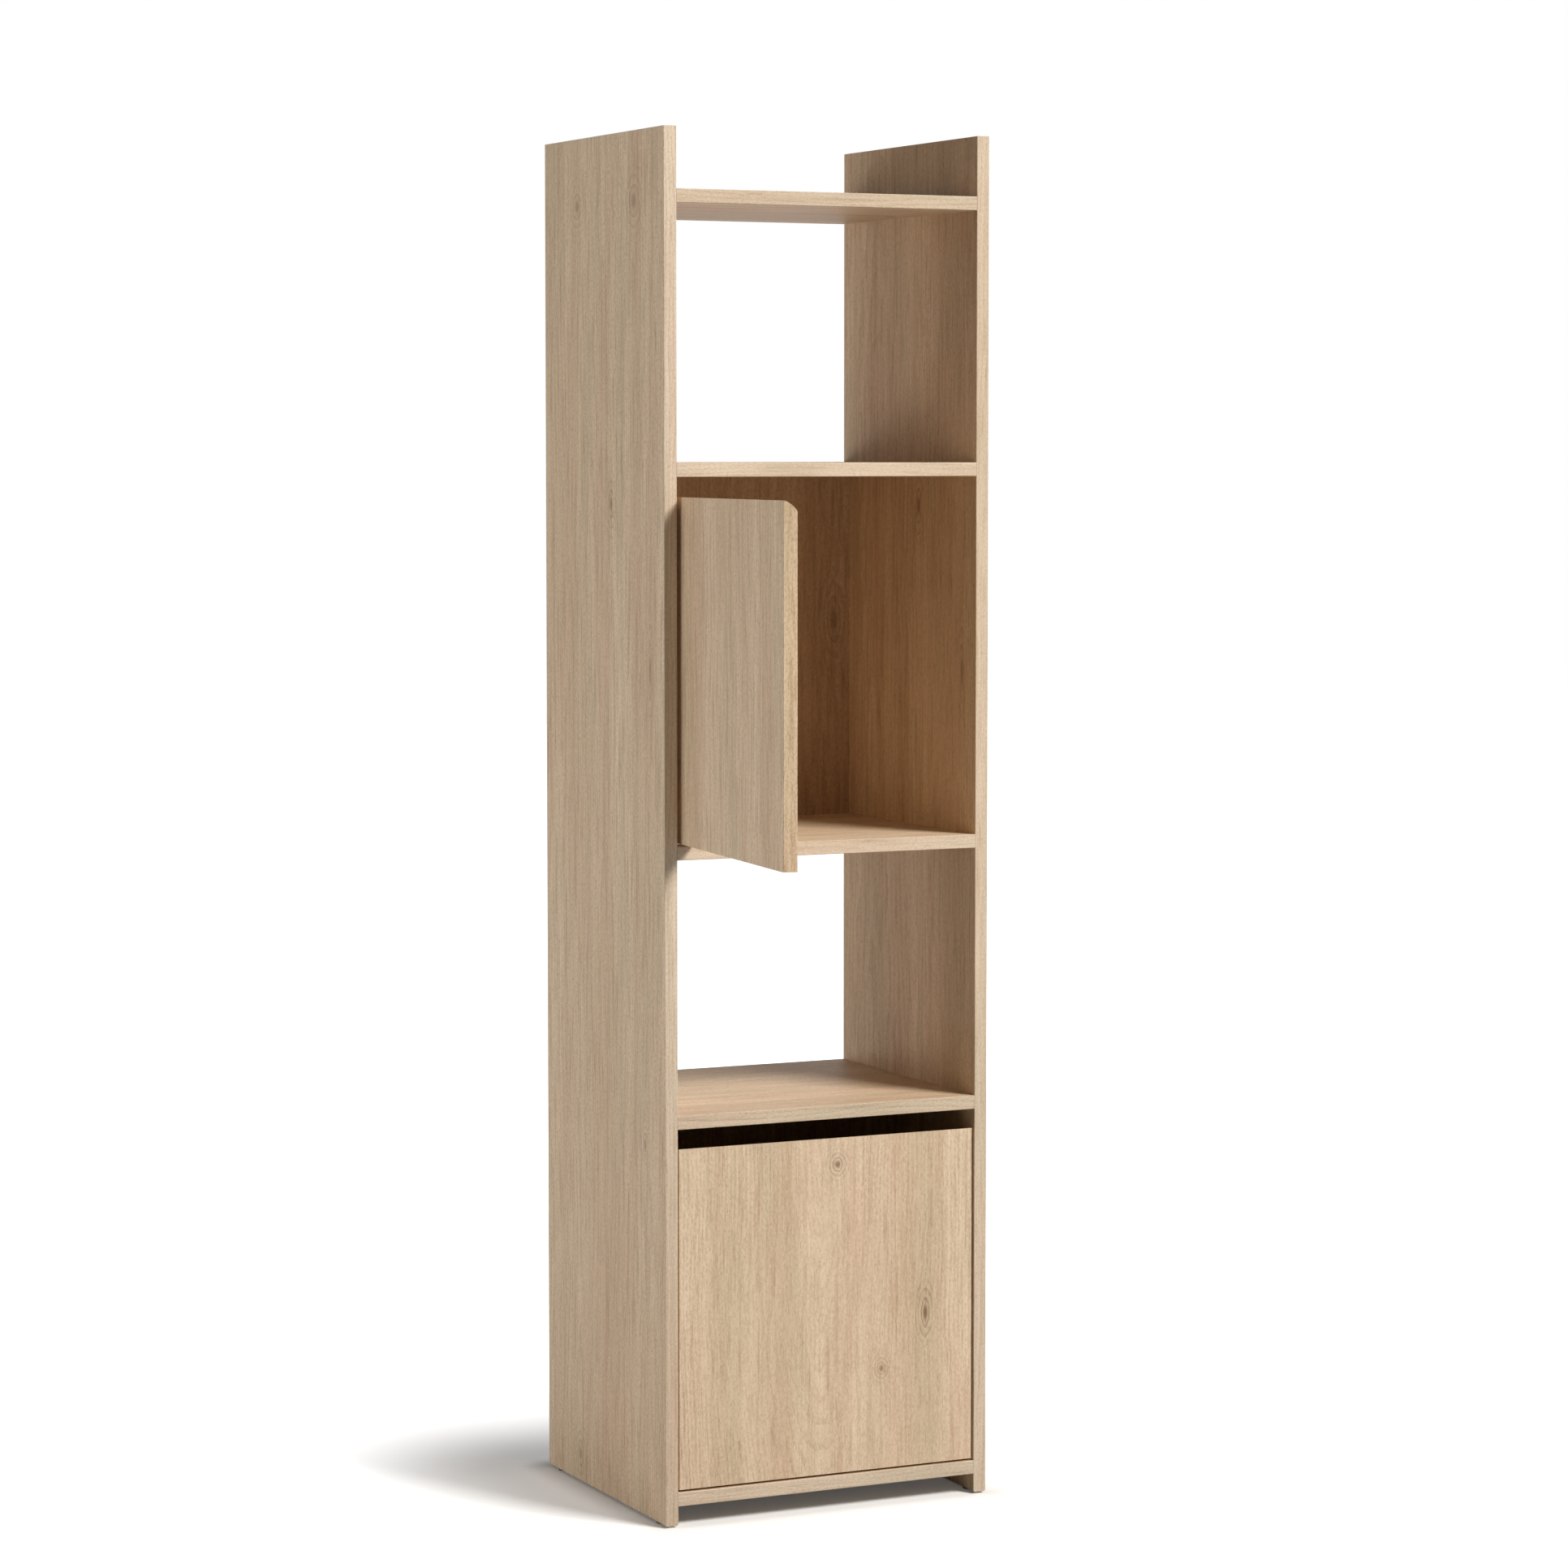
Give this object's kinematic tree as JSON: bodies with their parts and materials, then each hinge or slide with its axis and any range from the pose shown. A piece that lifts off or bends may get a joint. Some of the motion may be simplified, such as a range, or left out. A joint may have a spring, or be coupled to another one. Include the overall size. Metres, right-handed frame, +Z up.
{
  "type": "narrow bookcase with two hinged doors",
  "caption": "Tall narrow oak-look bookcase on panel sides, with open niches and handle-less bevel-top doors on concealed hinges, the upper one standing open.",
  "frame": {"origin": "on the floor, midway between the sides, in the plane of the front edges", "axes": "+X to the right seen from the front, +Y to the back, +Z up"},
  "size_m": [0.435, 0.7079, 1.6],
  "materials": {
    "oak_decor_side": "satin light oak decor, grain upright",
    "oak_decor_shelf": "satin light oak decor, grain along the shelf",
    "oak_decor_back": "satin light oak decor, grain upright",
    "oak_decor_door": "satin light oak decor, grain upright",
    "oak_edging": "matching oak-print edging strip",
    "hinge_nickel": "nickel-plated",
    "pin_steel": "bright",
    "screw_steel": "zinc-plated",
    "cam_zinc": "cast zinc, dull",
    "beech": "raw beech",
    "glide_plastic": "dark brown"
  },
  "bodies": {
    "carcass": {"arm_screws": "screw_steel", "bottom_board": "oak_decor_shelf", "bottom_board_edging": "oak_edging", "cam_bolts": "screw_steel", "cam_locks": "cam_zinc", "floor_glides": "glide_plastic", "hinge_arm_lower_door_high": "hinge_nickel", "hinge_arm_lower_door_low": "hinge_nickel", "hinge_arm_upper_door_high": "hinge_nickel", "hinge_arm_upper_door_low": "hinge_nickel", "hinge_plate_lower_door_high": "hinge_nickel", "hinge_plate_lower_door_low": "hinge_nickel", "hinge_plate_upper_door_high": "hinge_nickel", "hinge_plate_upper_door_low": "hinge_nickel", "left_side_edging": "oak_edging", "left_side_panel": "oak_decor_side", "lower_back_panel": "oak_decor_back", "lower_shelf": "oak_decor_shelf", "lower_shelf_edging": "oak_edging", "middle_shelf": "oak_decor_shelf", "middle_shelf_edging": "oak_edging", "plate_screws": "screw_steel", "right_side_edging": "oak_edging", "right_side_panel": "oak_decor_side", "top_shelf": "oak_decor_shelf", "top_shelf_edging": "oak_edging", "upper_back_panel": "oak_decor_back", "upper_shelf": "oak_decor_shelf", "upper_shelf_edging": "oak_edging", "wood_dowels": "beech"},
    "upper_door": {"cup_screws_upper_door": "screw_steel", "hinge_cup_upper_door_high": "hinge_nickel", "hinge_cup_upper_door_low": "hinge_nickel", "hinge_pin_upper_door_high": "pin_steel", "hinge_pin_upper_door_low": "pin_steel", "upper_door": "oak_decor_door", "upper_door_edging": "oak_edging"},
    "lower_door": {"cup_screws_lower_door": "screw_steel", "hinge_cup_lower_door_high": "hinge_nickel", "hinge_cup_lower_door_low": "hinge_nickel", "hinge_pin_lower_door_high": "pin_steel", "hinge_pin_lower_door_low": "pin_steel", "lower_door": "oak_decor_door", "lower_door_edging": "oak_edging"}
  },
  "joints": [
    {"name": "upper_door_swing", "type": "hinge", "parent": "carcass", "child": "upper_door", "pos_m": [-0.179, 0.0093, 0.98475], "axis": [0, 0, 1], "range_deg": [0, 96.5]},
    {"name": "lower_door_swing", "type": "hinge", "parent": "carcass", "child": "lower_door", "pos_m": [-0.179, 0.0093, 0.23975], "axis": [0, 0, 1], "range_deg": [-96.5, 0]}
  ]
}
